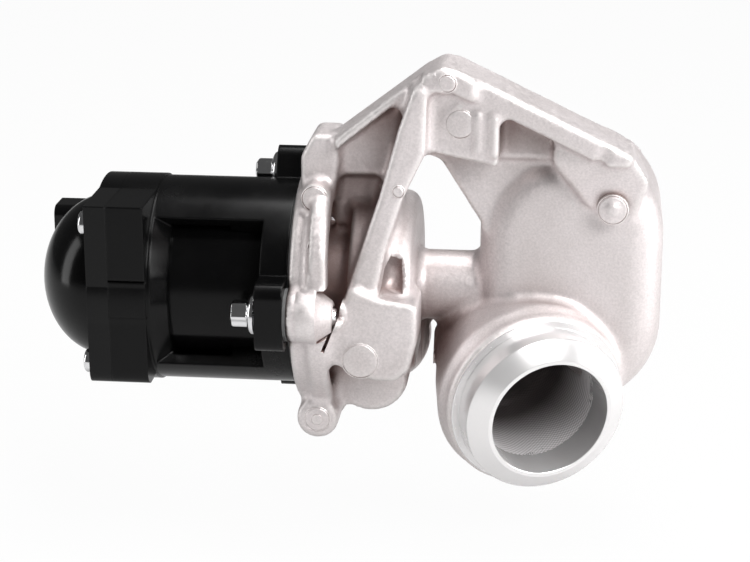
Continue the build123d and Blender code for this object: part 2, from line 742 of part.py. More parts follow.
with BuildPart() as magnets:
    for middle in (0, 180):
        with BuildSketch(around_stem(middle - magnet_arc / 2)):
            with BuildLine():
                Polyline((magnet_back, can_bore - magnet_thickness), (magnet_back, can_bore),
                         (magnet_back + magnet_length, can_bore),
                         (magnet_back + magnet_length, can_bore - magnet_thickness), close=True)
            make_face()
        revolve(axis=stem_axis, revolution_arc=magnet_arc)
magnets.part.label = "magnets"
export_step(magnets.part, "parts/magnets.step")

with BuildPart() as front_bearing_plate:
    front_plate_front_face = front_plate_back + front_plate_thickness
    bush_stop = shaft_front + 0.4
    revolve(half_section(
        (front_plate_back, bush_radius), (front_plate_back, can_bore),
        (front_plate_front_face, can_bore), (front_plate_front_face, front_hub_radius),
        (spring_seat, front_hub_radius), (spring_seat, screw_radius + 0.7),
        (bush_stop, screw_radius + 0.7), (bush_stop, bush_radius)), axis=stem_axis)
front_bearing_plate.part.label = "front_bearing_plate"
export_step(front_bearing_plate.part, "parts/front_bearing_plate.step")

with BuildPart() as front_bush:
    extrude(ring(front_plate_back, bush_radius, shaft_radius + running_clearance),
            amount=bush_length)
front_bush.part.label = "front_bush"
export_step(front_bush.part, "parts/front_bush.step")

with BuildPart() as rear_bearing_plate:
    rear_plate_back = end_flange_back - rear_plate_thickness
    rear_stop = shaft_back - 0.4
    revolve(half_section(
        (end_flange_back, bush_radius), (end_flange_back, rear_plate_radius),
        (rear_plate_back, rear_plate_radius), (rear_plate_back, bush_radius + 1.5),
        (rear_hub_back, bush_radius + 1.5), (rear_hub_back, 0), (rear_stop, 0),
        (rear_stop, bush_radius)), axis=stem_axis)
    with BuildSketch(across_stem(rear_hub_back)):
        Rectangle(screw_square + 2 * running_clearance, screw_square + 2 * running_clearance)
    extrude(amount=rear_stop - rear_hub_back, mode=Mode.SUBTRACT)
rear_bearing_plate.part.label = "rear_bearing_plate"
export_step(rear_bearing_plate.part, "parts/rear_bearing_plate.step")

with BuildPart() as rear_bush:
    extrude(ring(shaft_back + 0.2, bush_radius, shaft_radius + running_clearance),
            amount=bush_length)
rear_bush.part.label = "rear_bush"
export_step(rear_bush.part, "parts/rear_bush.step")

# brushes ride in two boxes on a ring plate behind the windings
brush_plate_back = can_back + can_wall + 0.2
brush_plate_thickness = 1.5
brush_box_back = brush_plate_back + brush_plate_thickness
brush_back = brush_box_back + 0.9
brush_top = commutator_radius + 0.05
brush_box_inner = commutator_radius + 1.5
brush_box_outer = can_bore - 1.4
brush_box_floor = brush_box_outer - 1
brush_end = (brush_box_inner + brush_box_outer) / 2
brush_spring_space = brush_box_floor - brush_end
with BuildPart() as brush_holder:
    extrude(ring(brush_plate_back, can_bore - free_clearance, commutator_radius + 2),
            amount=brush_plate_thickness)
    with BuildSketch(across_stem(brush_box_back)):
        with PolarLocations((brush_box_inner + brush_box_outer) / 2, 2, start_angle=90):
            Rectangle(brush_box_outer - brush_box_inner, brush_width + 2 * brush_box_wall)
    extrude(amount=brush_thickness + 1.6)
    with BuildSketch(across_stem(brush_back)):
        with PolarLocations((commutator_radius + brush_box_floor) / 2, 2, start_angle=90):
            Rectangle(brush_box_floor - commutator_radius, brush_width + 2 * running_clearance)
    extrude(amount=brush_thickness, mode=Mode.SUBTRACT)
brush_holder.part.label = "brush_holder"
export_step(brush_holder.part, "parts/brush_holder.step")

with BuildPart() as brushes:
    with BuildSketch(across_stem(brush_back)):
        with PolarLocations((brush_top + brush_end) / 2, 2, start_angle=90):
            Rectangle(brush_end - brush_top, brush_width)
        Circle(brush_top, mode=Mode.SUBTRACT)
    extrude(amount=brush_thickness - 0.1)
brushes.part.label = "brushes"
export_step(brushes.part, "parts/brushes.step")

with BuildPart() as brush_springs:
    with BuildSketch(across_stem(brush_back + 0.2)):
        with PolarLocations(brush_end + brush_spring_space / 2, 2, start_angle=90):
            Rectangle(brush_spring_space - 0.1, brush_width - 1)
            Rectangle(brush_spring_space - 0.1 - 2 * brush_spring_wall,
                      brush_width - 1 - 2 * brush_spring_wall, mode=Mode.SUBTRACT)
    extrude(amount=brush_thickness - 0.5)
brush_springs.part.label = "brush_springs"
export_step(brush_springs.part, "parts/brush_springs.step")

# ================================================================ motor shell and end cover
def end_outline(x):
    """Outline of the shell's end flange and the cover: round, squared off in front, one ear."""
    with BuildSketch(across_stem(x)) as shape:
        Circle(end_flange_radius)
        with Locations((-end_flange_front / 2, (end_flange_top - end_flange_bottom) / 2)):
            Rectangle(end_flange_front, end_flange_top + end_flange_bottom)
        lower_corner = shape.vertices().sort_by_distance((-end_flange_front, -end_flange_bottom))[0]
        fillet(lower_corner, end_flange_corner)
        with Locations(cover_screw_places[2]):
            Circle(cover_ear_radius)
    return shape.sketch


def screw_circles(x, radius):
    """One circle at each cover screw."""
    with BuildSketch(across_stem(x)) as shape:
        with Locations(*cover_screw_places):
            Circle(radius)
    return shape.sketch


def bolt_circles(x, radius):
    """One circle at each actuator bolt."""
    with BuildSketch(across_stem(x)) as shape:
        with PolarLocations(bolt_circle, bolt_count, start_angle=180):
            Circle(radius)
    return shape.sketch


with BuildPart() as motor_housing:
    extrude(ring(end_flange_face, shell_radius, 0), amount=shell_length)
    extrude(end_outline(end_flange_back), amount=end_flange_thickness)
    with BuildSketch(across_stem(lug_back)):
        with PolarLocations(lug_outer_radius - lug_width / 2, bolt_count, start_angle=180):
            RectangleRounded(lug_width, lug_width, lug_corner)
    extrude(amount=lug_length)
    # seat for the motor can, the wider space round it and the opening toward the valve
    extrude(ring(end_flange_back, can_radius + free_clearance, 0),
            amount=end_flange_thickness + shell_length - shell_front_wall, mode=Mode.SUBTRACT)
    extrude(ring(window_left + window_cone_length, shell_cavity_radius, 0),
            amount=bolt_pocket_back - window_left - window_cone_length - 1, mode=Mode.SUBTRACT)
    extrude(ring(-can_front, shell_opening_radius, 0), amount=can_front, mode=Mode.SUBTRACT)
    # cooling windows in front and behind, each with a cone at its motor end
    for start_angle, arc in ((180 - window_top_angle, window_top_angle + window_bottom_angle),
                             (-46, 92)):
        with BuildSketch(around_stem(start_angle)):
            with BuildLine():
                Polyline((window_left, shell_radius), (window_left, shell_radius + 5),
                         (window_right, shell_radius + 5), (window_right, can_radius),
                         (window_left + window_cone_length, can_radius),
                         (window_left + window_cone_length, shell_radius - window_cone_length),
                         close=True)
            make_face()
        revolve(axis=stem_axis, revolution_arc=arc, mode=Mode.SUBTRACT)
    # room for the bolt heads
    extrude(bolt_circles(bolt_pocket_back, bolt_flange_radius + 0.3),
            amount=lug_back - bolt_pocket_back, mode=Mode.SUBTRACT)
    # holes for the sleeves and cover screws, seal groove, two grooves beside the front panel
    extrude(bolt_circles(lug_back, sleeve_radius), amount=lug_length, mode=Mode.SUBTRACT)
    extrude(screw_circles(end_flange_back, cover_screw_radius + thread_clearance),
            amount=cover_screw_length - cover_plate_thickness, mode=Mode.SUBTRACT)
    extrude(ring(end_flange_back, seal_groove_radius, seal_groove_radius - seal_groove_width),
            amount=seal_groove_depth, mode=Mode.SUBTRACT)
    with BuildSketch(facing_front(end_flange_front)):
        for groove_place in groove_places:
            with Locations(((end_flange_back + end_flange_face) / 2, groove_place)):
                Rectangle(end_flange_thickness, groove_height)
    extrude(amount=-groove_depth, mode=Mode.SUBTRACT)
motor_housing.part.label = "motor_housing"
export_step(motor_housing.part, "parts/motor_housing.step")

connector_end = cover_back - connector_length
socket_bottom = connector_end + connector_socket_depth
connector_middle = (connector_inner_side + connector_depth_across / 2,
                    connector_bottom + connector_height / 2)


def pin_blades(x, length, width, thickness):
    """Cross sections of the connector pins."""
    with BuildSketch(across_stem(x)) as shape:
        with Locations(connector_middle):
            with GridLocations(1, connector_pin_pitch, 1, connector_pin_count):
                Rectangle(width, thickness)
    return shape.sketch


def dome_section(height, radius):
    """Half section of a round-ended space behind the cover plate."""
    with BuildSketch(facing_front()) as shape:
        with Locations((cover_back, 0)):
            Ellipse(height, radius)
        with Locations((cover_back - height / 2, radius / 2)):
            Rectangle(height, radius, mode=Mode.INTERSECT)
    return shape.sketch


with BuildPart() as end_cover:
    extrude(end_outline(cover_back), amount=cover_plate_thickness)
    with BuildSketch(across_stem(cover_back)):
        with Locations((connector_middle[0] / 2 + 4, connector_middle[1])):
            RectangleRounded(connector_middle[0] + 5.5, connector_height + 2.5, connector_corner)
    extrude(amount=cover_plate_thickness)
    revolve(dome_section(dome_height, dome_radius), axis=stem_axis)
    with BuildSketch(across_stem(connector_end)):
        with Locations(connector_middle):
            RectangleRounded(connector_depth_across, connector_height, connector_corner)
    extrude(amount=connector_length)
    # latch ramp for the mating plug
    with BuildSketch(across_stem(connector_end + 4)):
        with Locations((connector_middle[0] + connector_depth_across / 2 + 0.4, connector_middle[1])):
            Rectangle(2, 7)
    extrude(amount=5)
    chamfer(end_cover.edges().filter_by(Axis.Z).sort_by(Axis.Y)[-2:].sort_by(Axis.X)[0], 1.2)
    # space in the dome, and the seat for the rear bearing plate
    revolve(dome_section(dome_height - cover_wall, dome_radius - cover_wall), axis=stem_axis,
            mode=Mode.SUBTRACT)
    extrude(ring(cover_back, dome_radius - cover_wall, 0), amount=cover_plate_thickness,
            mode=Mode.SUBTRACT)
    extrude(ring(end_flange_back - rear_plate_thickness, rear_plate_radius + free_clearance, 0),
            amount=rear_plate_thickness, mode=Mode.SUBTRACT)
    # connector socket, pin slots and screw holes
    with BuildSketch(across_stem(connector_end)):
        with Locations(connector_middle):
            RectangleRounded(connector_depth_across - 2 * connector_wall,
                             connector_height - 2 * connector_wall, connector_corner - connector_wall)
    extrude(amount=connector_socket_depth, mode=Mode.SUBTRACT)
    extrude(pin_blades(socket_bottom, 1, connector_pin_width, connector_pin_thickness),
            amount=cover_back + 2 - socket_bottom, mode=Mode.SUBTRACT)
    extrude(screw_circles(cover_back, cover_screw_radius + free_clearance),
            amount=cover_plate_thickness, mode=Mode.SUBTRACT)
end_cover.part.label = "end_cover"
export_step(end_cover.part, "parts/end_cover.step")

with BuildPart() as connector_pins:
    extrude(pin_blades(socket_bottom - connector_pin_reach, 1, connector_pin_width, connector_pin_thickness),
            amount=cover_back + 2 - socket_bottom + connector_pin_reach)
connector_pins.part.label = "connector_pins"
export_step(connector_pins.part, "parts/connector_pins.step")

with BuildPart() as cover_seal:
    extrude(ring(end_flange_back, seal_groove_radius - 0.1, seal_groove_radius - seal_groove_width + 0.1),
            amount=seal_groove_depth)
cover_seal.part.label = "cover_seal"
export_step(cover_seal.part, "parts/cover_seal.step")

# pan-head screws with a six-lobed socket
with BuildPart() as cover_screws:
    extrude(screw_circles(cover_back, cover_screw_radius), amount=cover_screw_length)
    extrude(screw_circles(cover_back - cover_screw_head_height, cover_screw_head_radius),
            amount=cover_screw_head_height)
    fillet(cover_screws.edges().group_by(Axis.X)[0], 1)
    with BuildSketch(across_stem(cover_back - cover_screw_head_height)):
        with Locations(*cover_screw_places):
            RegularPolygon(1.5, 6)
    extrude(amount=cover_screw_head_height - 0.8, mode=Mode.SUBTRACT)
cover_screws.part.label = "cover_screws"
export_step(cover_screws.part, "parts/cover_screws.step")

with BuildPart() as lug_sleeves:
    with BuildSketch(across_stem(sleeve_back)):
        with PolarLocations(bolt_circle, bolt_count, start_angle=180):
            Circle(sleeve_radius)
            Circle(sleeve_radius - sleeve_wall, mode=Mode.SUBTRACT)
    extrude(amount=shell_front - sleeve_back)
lug_sleeves.part.label = "lug_sleeves"
export_step(lug_sleeves.part, "parts/lug_sleeves.step")

# flanged bolts with an external star head
with BuildPart() as actuator_bolts:
    bolt_flange_back = sleeve_back - bolt_flange_thickness
    extrude(bolt_circles(sleeve_back, bolt_shank_radius), amount=bolt_reach - sleeve_back)
    extrude(bolt_circles(bolt_flange_back, bolt_flange_radius), amount=bolt_flange_thickness)
    fillet(actuator_bolts.edges().group_by(Axis.X)[0], 0.9)
    with BuildSketch(across_stem(bolt_flange_back - bolt_star_length)):
        with PolarLocations(bolt_circle, bolt_count, start_angle=180):
            Circle(bolt_star_radius)
            with PolarLocations(bolt_star_radius + 0.35, 6):
                Circle(0.95, mode=Mode.SUBTRACT)
    extrude(amount=bolt_star_length)
actuator_bolts.part.label = "actuator_bolts"
export_step(actuator_bolts.part, "parts/actuator_bolts.step")

with BuildPart() as actuator_gasket:
    extrude(flange_outline(shell_front, shell_radius), amount=gasket_thickness)
    extrude(ring(shell_front, gasket_bore_radius, 0), amount=gasket_thickness, mode=Mode.SUBTRACT)
    extrude(bolt_circles(shell_front, bolt_shank_radius + 0.3), amount=gasket_thickness,
            mode=Mode.SUBTRACT)
actuator_gasket.part.label = "actuator_gasket"
export_step(actuator_gasket.part, "parts/actuator_gasket.step")

# ================================================================ position sensor
board_face = end_flange_back - rear_plate_thickness - board_length / 2
with BuildPart() as sensor_board:
    with Locations(across_stem(board_face)):
        with Locations((0, board_height + board_thickness / 2, 0)):
            Box(board_width, board_thickness, board_length)
sensor_board.part.label = "sensor_board"
export_step(sensor_board.part, "parts/sensor_board.step")

with BuildPart() as hall_sensor:
    with Locations(across_stem(screw_end + hall_size / 2 + 1)):
        with Locations((0, board_height - hall_size / 4, 0)):
            Box(hall_size, hall_size / 2, hall_size)
hall_sensor.part.label = "hall_sensor"
export_step(hall_sensor.part, "parts/hall_sensor.step")

# ================================================================ manifold seal
with BuildPart() as manifold_o_ring:
    with Locations(outlet_face.offset(o_ring_section - o_ring_groove_depth)):
        Torus(o_ring_radius, o_ring_section)
manifold_o_ring.part.label = "manifold_o_ring"
export_step(manifold_o_ring.part, "parts/manifold_o_ring.step")
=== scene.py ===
"""Looks of the motor-driven EGR valve: cast housing, turned spigot, black motor unit, bright fasteners."""
from math import cos, pi, radians, sin

import bmesh
import bpy
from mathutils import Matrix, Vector


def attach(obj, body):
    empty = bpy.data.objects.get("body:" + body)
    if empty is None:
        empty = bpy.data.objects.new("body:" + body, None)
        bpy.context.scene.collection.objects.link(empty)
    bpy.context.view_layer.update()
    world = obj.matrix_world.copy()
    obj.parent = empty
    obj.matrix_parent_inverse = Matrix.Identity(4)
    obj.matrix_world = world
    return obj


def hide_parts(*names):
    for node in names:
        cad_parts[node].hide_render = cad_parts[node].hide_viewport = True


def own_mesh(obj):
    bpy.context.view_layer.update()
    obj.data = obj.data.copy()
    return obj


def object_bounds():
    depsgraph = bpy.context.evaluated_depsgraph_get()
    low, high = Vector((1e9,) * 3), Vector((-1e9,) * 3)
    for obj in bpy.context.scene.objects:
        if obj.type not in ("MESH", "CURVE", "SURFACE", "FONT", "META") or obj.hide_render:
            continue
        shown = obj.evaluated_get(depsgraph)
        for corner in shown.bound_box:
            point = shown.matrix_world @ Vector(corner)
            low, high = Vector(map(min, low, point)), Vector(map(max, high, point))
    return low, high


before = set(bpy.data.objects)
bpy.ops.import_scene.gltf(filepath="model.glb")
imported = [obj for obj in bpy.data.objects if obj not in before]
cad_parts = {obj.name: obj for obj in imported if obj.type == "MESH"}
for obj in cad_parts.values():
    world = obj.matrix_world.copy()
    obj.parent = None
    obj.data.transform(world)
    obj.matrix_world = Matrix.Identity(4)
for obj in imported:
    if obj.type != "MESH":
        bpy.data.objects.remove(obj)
cad_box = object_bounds()
MM = 0.001


def at(x, y, z):
    """Place given from the stem axis at the joint (millimetres, y toward the rear) in the row frame."""
    return Vector(((x - 79.5) * MM, (y - 24.0) * MM, (z - 6.0) * MM))


SPIGOT_END = at(75.3, -36.0, -28.0)
SPIGOT_AXIS = Vector((0.39, -0.91, -0.145)).normalized()
SPIGOT_SIDE = Vector((0.91, 0.39, 0.0)).normalized()
SPIGOT_UP = SPIGOT_AXIS.cross(SPIGOT_SIDE)
SPIGOT_BORE = 17.75      # just outside the bore's radius
BORE_REACH = 60.0        # how far the bore runs in from the spigot's end
REAR_FACE = 24.0         # milled rear faces, from the stem axis
BOLT_CIRCLE = 33.5


# ---------------------------------------------------------------- materials
class Nodes:
    """Short calls that build one material's node tree."""

    def __init__(self, name):
        self.material = bpy.data.materials.new(name)
        self.material.use_nodes = True
        self.tree = self.material.node_tree
        self.tree.nodes.clear()
        self.out = self.tree.nodes.new("ShaderNodeOutputMaterial")
        self.shader = self.tree.nodes.new("ShaderNodeBsdfPrincipled")
        self.link(self.shader.outputs[0], self.out.inputs["Surface"])
        self.place = self.tree.nodes.new("ShaderNodeTexCoord").outputs["Object"]

    def link(self, start, end):
        self.tree.links.new(start, end)

    def put(self, socket, value):
        if hasattr(value, "is_output"):
            self.link(value, socket)
        else:
            socket.default_value = value

    def noise(self, scale, detail=3.0, rough=0.5):
        node = self.tree.nodes.new("ShaderNodeTexNoise")
        node.inputs["Scale"].default_value = scale
        node.inputs["Detail"].default_value = detail
        node.inputs["Roughness"].default_value = rough
        self.link(self.place, node.inputs["Vector"])
        return node.outputs["Fac"]

    def math(self, kind, a, b=0.0):
        node = self.tree.nodes.new("ShaderNodeMath")
        node.operation = kind
        for socket, value in zip(node.inputs, (a, b)):
            self.put(socket, value)
        return node.outputs[0]

    def dot(self, direction, offset):
        """Distance along a direction, from a point."""
        move = self.tree.nodes.new("ShaderNodeVectorMath")
        move.operation = "SUBTRACT"
        self.link(self.place, move.inputs[0])
        move.inputs[1].default_value = offset
        node = self.tree.nodes.new("ShaderNodeVectorMath")
        node.operation = "DOT_PRODUCT"
        self.link(move.outputs[0], node.inputs[0])
        node.inputs[1].default_value = direction
        return node.outputs["Value"]

    def span(self, value, low, high, out_low=0.0, out_high=1.0):
        node = self.tree.nodes.new("ShaderNodeMapRange")
        self.link(value, node.inputs["Value"])
        limits = {"From Min": low, "From Max": high, "To Min": out_low, "To Max": out_high}
        for key, number in limits.items():
            node.inputs[key].default_value = number
        return node.outputs["Result"]

    def mix(self, factor, first, second):
        node = self.tree.nodes.new("ShaderNodeMix")
        node.data_type = "RGBA"
        self.put(node.inputs["Factor"], factor)
        self.put(node.inputs[6], first)
        self.put(node.inputs[7], second)
        return node.outputs[2]

    def bump(self, height, strength, distance, normal=None):
        node = self.tree.nodes.new("ShaderNodeBump")
        node.inputs["Strength"].default_value = strength
        node.inputs["Distance"].default_value = distance
        self.link(height, node.inputs["Height"])
        if normal is not None:
            self.link(normal, node.inputs["Normal"])
        return node.outputs[0]

    def rounded(self, radius):
        node = self.tree.nodes.new("ShaderNodeBevel")
        node.samples = 6
        node.inputs["Radius"].default_value = radius
        return node.outputs[0]

    def finish(self, color, roughness, metallic=0.0, normal=None, **constants):
        self.put(self.shader.inputs["Base Color"], color)
        self.put(self.shader.inputs["Roughness"], roughness)
        self.put(self.shader.inputs["Metallic"], metallic)
        if normal is not None:
            self.link(normal, self.shader.inputs["Normal"])
        for key, value in constants.items():
            self.shader.inputs[key.replace("_", " ")].default_value = value
        return self.material


def rgb(r, g, b):
    return (r, g, b, 1.0)


X = Vector((1, 0, 0))
Y = Vector((0, 1, 0))
Z = Vector((0, 0, 1))


def cast_metal():
    """Pale as-cast aluminium: sandy grain, soft patches, painted brown shade in the hollows, painted
    highlights on the edges.
    """
    n = Nodes("cast_metal")
    bright, dark = rgb(0.79, 0.735, 0.735), rgb(0.67, 0.618, 0.612)
    # painted light: a brown shade colour for the hollows and a pale highlight colour for the convex edges
    hollow_shade_color, edge_highlight_color = rgb(0.27, 0.185, 0.17), rgb(0.84, 0.83, 0.81)
    # the last colour here is the near-black painted shade for deep in the bore
    tooled, groove, bore_shade_color = rgb(0.92, 0.90, 0.91), rgb(0.50, 0.48, 0.48), rgb(0.05, 0.036, 0.035)
    broad = n.noise(28.0, 4.0, 0.6)
    grain = n.noise(1500.0, 3.0, 0.6)
    pits = n.noise(700.0, 2.0, 0.5)
    tone = n.mix(n.span(broad, 0.35, 0.65), dark, bright)
    speck = n.mix(n.span(grain, 0.35, 0.75), rgb(0.86, 0.86, 0.86), rgb(1.04, 1.04, 1.04))
    shade = n.tree.nodes.new("ShaderNodeMix")
    shade.data_type = "RGBA"
    shade.blend_type = "MULTIPLY"
    shade.inputs["Factor"].default_value = 1.0
    n.link(tone, shade.inputs[6])
    n.link(speck, shade.inputs[7])
    rough = n.span(pits, 0.3, 0.7, 0.40, 0.58)
    # painted shade in the hollows, from ambient occlusion, and painted highlights on the convex edges
    hollow = n.tree.nodes.new("ShaderNodeAmbientOcclusion")
    hollow.samples = 8
    hollow.inputs["Distance"].default_value = 16 * MM
    # painted shade: where ambient occlusion is high, the hollows take the brown shade colour
    hollow_shade_mask = n.span(hollow.outputs["AO"], 0.25, 0.78)
    # painted highlight: pointiness picks the convex edges, which are lightened toward a pale colour in
    # place of a specular glint
    edge = n.span(n.tree.nodes.new("ShaderNodeNewGeometry").outputs["Pointiness"], 0.505, 0.56)
    hollow_shaded = n.mix(hollow_shade_mask, hollow_shade_color, shade.outputs[2])
    shaded_and_highlighted = n.mix(n.math("MULTIPLY", edge, 0.35), hollow_shaded, edge_highlight_color)
    # machined places: the bore of the hose spigot, with painted shade darkening it further in, and the
    # rear faces
    along = n.math("MULTIPLY", n.dot(SPIGOT_AXIS, SPIGOT_END), -1.0)
    across = n.dot(SPIGOT_SIDE, SPIGOT_END)
    upward = n.dot(SPIGOT_UP, SPIGOT_END)
    radius = n.math("SQRT", n.math("ADD", n.math("MULTIPLY", across, across),
                                   n.math("MULTIPLY", upward, upward)))
    bored = n.math("MULTIPLY", n.math("LESS_THAN", radius, SPIGOT_BORE * MM),
                   n.math("LESS_THAN", along, BORE_REACH * MM))
    faced = n.math("GREATER_THAN", n.dot(Y, at(0, REAR_FACE, 0)), -0.25 * MM)
    machined = n.math("MAXIMUM", bored, faced)
    marks = n.math("MULTIPLY", n.math("SINE", n.math("MULTIPLY", along, 2 * pi / 0.0011)),
                   n.math("SINE", n.math("MULTIPLY", across, 2 * pi / 0.0013)))
    on_wall = n.math("GREATER_THAN", radius, 16.8 * MM)
    chatter = n.math("MULTIPLY", n.math("MULTIPLY", bored, on_wall), n.span(marks, -0.5, 0.5))
    # painted shade: the bore's colour goes nearly black with depth along the spigot axis
    bore_depth_shade = n.math("MULTIPLY", bored, n.span(along, 12 * MM, 34 * MM, 0.0, 0.93))
    color = n.mix(machined, shaded_and_highlighted, n.mix(bore_depth_shade, n.mix(chatter, tooled, groove), bore_shade_color))
    rough = n.math("ADD", n.math("MULTIPLY", rough, n.math("SUBTRACT", 1.0, machined)),
                   n.math("MULTIPLY", machined, n.span(marks, -1.0, 1.0, 0.34, 0.50)))
    metallic = n.math("SUBTRACT", 0.65, n.math("MULTIPLY", machined, 0.35))
    normal = n.bump(pits, 0.22, 0.00026, n.bump(grain, 0.24, 0.00014))
    return n.finish(color, rough, metallic, normal)


def turned_metal(name, axis, origin, side, up, pitch, color, rough, metallic=1.0):
    """Machined metal with fine tool marks running round an axis."""
    n = Nodes(name)
    along = n.dot(axis, origin)
    a = n.dot(side, origin)
    b = n.dot(up, origin)
    radius = n.math("SQRT", n.math("ADD", n.math("MULTIPLY", a, a), n.math("MULTIPLY", b, b)))
    travel = n.math("ADD", along, radius)
    marks = n.math("SINE", n.math("MULTIPLY", travel, 2 * pi / pitch))
    tone = n.mix(n.span(n.noise(60.0), 0.3, 0.7), rgb(*color), rgb(*(0.93 * c for c in color)))
    return n.finish(tone, n.span(marks, -1.0, 1.0, rough - 0.003, rough + 0.003), metallic)


def plain_metal(name, color, rough, scale=900.0, bump=0.08):
    n = Nodes(name)
    grain = n.noise(scale, 3.0)
    tone = n.mix(n.span(n.noise(120.0), 0.3, 0.7), rgb(*color), rgb(*(0.9 * c for c in color)))
    return n.finish(tone, n.span(grain, 0.3, 0.7, rough - 0.04, rough + 0.06), 1.0,
                    n.bump(grain, bump, 0.0001, n.rounded(0.0002)))


def black_plastic(name, rough, level, edge, haze, specular):
    """Moulded black plastic: faint flow haze and fine scuffs."""
    n = Nodes(name)
    haze_field = n.noise(55.0, 5.0, 0.65)
    scuff = n.noise(1200.0, 2.0)
    tone = n.mix(n.span(haze_field, 0.45, 0.75), rgb(level, level, level * 1.06),
                 rgb(level * 1.5, level * 1.5, level * 1.55))
    return n.finish(tone, n.span(haze_field, 0.35, 0.7, rough - haze / 2, rough + haze / 2), 0.0,
                    n.bump(scuff, 0.05, 0.0001, n.rounded(edge)), Specular_IOR_Level=specular)


def plain(name, color, rough, metallic=0.0, scale=600.0, bump=0.2):
    n = Nodes(name)
    grain = n.noise(scale, 3.0)
    tone = n.mix(n.span(grain, 0.3, 0.7), rgb(*color), rgb(*(0.8 * c for c in color)))
    return n.finish(tone, n.span(grain, 0.3, 0.7, rough - 0.05, rough + 0.05), metallic,
                    n.bump(grain, bump, 0.0001))


cast = cast_metal()
spigot_turned = turned_metal("spigot_turned", SPIGOT_AXIS, SPIGOT_END, SPIGOT_SIDE, SPIGOT_UP, 0.0008,
                             (0.80, 0.785, 0.785), 0.24, 0.62)
stem_turned = turned_metal("stem_turned", X, at(0, 0, 0), Y, Z, 0.0004, (0.72, 0.72, 0.73), 0.25)
satin_black = black_plastic("satin_black", 0.24, 0.002, 0.0008, 0.10, 0.17)
gloss_black = black_plastic("gloss_black", 0.16, 0.002, 0.0005, 0.05, 0.22)
can_black = black_plastic("can_black", 0.20, 0.002, 0.0003, 0.06, 0.16)
chrome = plain_metal("chrome", (0.80, 0.80, 0.81), 0.10)
zinc = plain_metal("zinc", (0.62, 0.62, 0.64), 0.30)
steel = plain_metal("steel", (0.42, 0.42, 0.44), 0.34)
bronze = plain_metal("bronze", (0.62, 0.42, 0.20), 0.42)
copper = plain_metal("copper", (0.74, 0.36, 0.20), 0.30)
wire = plain("enamelled_wire", (0.50, 0.18, 0.06), 0.32, 0.6)
ferrite = plain("ferrite", (0.035, 0.035, 0.038), 0.55)
carbon = plain("carbon", (0.03, 0.03, 0.03), 0.6)
rubber = plain("rubber", (0.012, 0.012, 0.012), 0.55)
fibre = plain("fibre", (0.10, 0.10, 0.10), 0.8)
board = plain("board", (0.02, 0.12, 0.05), 0.35)
dark_grey = plain("dark_grey", (0.04, 0.04, 0.043), 0.5)

LOOKS = {
    "valve_housing": cast, "seat_ring": stem_turned, "valve_disc": stem_turned, "valve_stem": stem_turned,
    "guide_carrier": stem_turned, "stem_bush": bronze, "stem_seal": rubber, "deposit_shield": steel,
    "spring_retainer": zinc, "retainer_collets": zinc, "return_spring": steel, "lead_screw": stem_turned,
    "magnet_holder": dark_grey, "sensor_magnet": ferrite, "rotor_shaft": zinc, "rotor_nut": bronze,
    "rotor_core": steel, "rotor_windings": wire, "commutator": copper, "yoke_can": can_black,
    "magnets": ferrite, "front_bearing_plate": zinc, "front_bush": bronze, "rear_bearing_plate": dark_grey,
    "rear_bush": bronze, "brush_holder": dark_grey, "brushes": carbon, "brush_springs": steel,
    "motor_housing": satin_black, "end_cover": gloss_black, "connector_pins": chrome, "cover_seal": rubber,
    "cover_screws": chrome, "lug_sleeves": zinc, "actuator_bolts": chrome, "actuator_gasket": fibre,
    "sensor_board": board, "hall_sensor": dark_grey, "manifold_o_ring": rubber,
}
for node_name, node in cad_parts.items():
    node.data.materials.clear()
    node.data.materials.append(LOOKS[node_name])


# ---------------------------------------------------------------- mesh helpers
def new_piece(name, mesh, material, body):
    mesh.materials.clear()
    mesh.materials.append(material)
    for face in mesh.polygons:
        face.use_smooth = True
    obj = bpy.data.objects.new(name, mesh)
    bpy.context.scene.collection.objects.link(obj)
    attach(obj, body)
    return obj


def from_bmesh(name, work, material, body, angle=35):
    bmesh.ops.recalc_face_normals(work, faces=work.faces)
    for edge in work.edges:
        edge.smooth = not edge.is_manifold or edge.calc_face_angle(0) < radians(angle)
    mesh = bpy.data.meshes.new(name)
    work.to_mesh(mesh)
    work.free()
    return new_piece(name, mesh, material, body)


def lathe(work, profile, origin, axis, side, segments=96, closed=False, lobe=None):
    """Adds a turned surface. The profile is (distance along the axis, radius) in millimetres."""
    up = axis.cross(side)
    rings = []
    for along, radius in profile:
        row = []
        for k in range(segments):
            turn = 2 * pi * k / segments
            r = lobe(radius, turn) if lobe else radius
            row.append(work.verts.new(origin + axis * (along * MM) + (side * cos(turn) + up * sin(turn))
                                      * (r * MM)))
        rings.append(row)
    pairs = list(zip(rings, rings[1:])) + ([(rings[-1], rings[0])] if closed else [])
    for near, far in pairs:
        for k in range(segments):
            m = (k + 1) % segments
            work.faces.new((near[k], near[m], far[m], far[k]))
    if not closed:
        work.faces.new(rings[0][::-1])
        work.faces.new(rings[-1])


def stacked(obj, *steps):
    """Runs a stack of modifiers on an object's mesh and returns the finished mesh."""
    for kind, settings in steps:
        modifier = obj.modifiers.new(kind, kind)
        for key, value in settings.items():
            setattr(modifier, key, value)
    graph = bpy.context.evaluated_depsgraph_get()
    mesh = bpy.data.meshes.new_from_object(obj.evaluated_get(graph))
    obj.modifiers.clear()
    return mesh


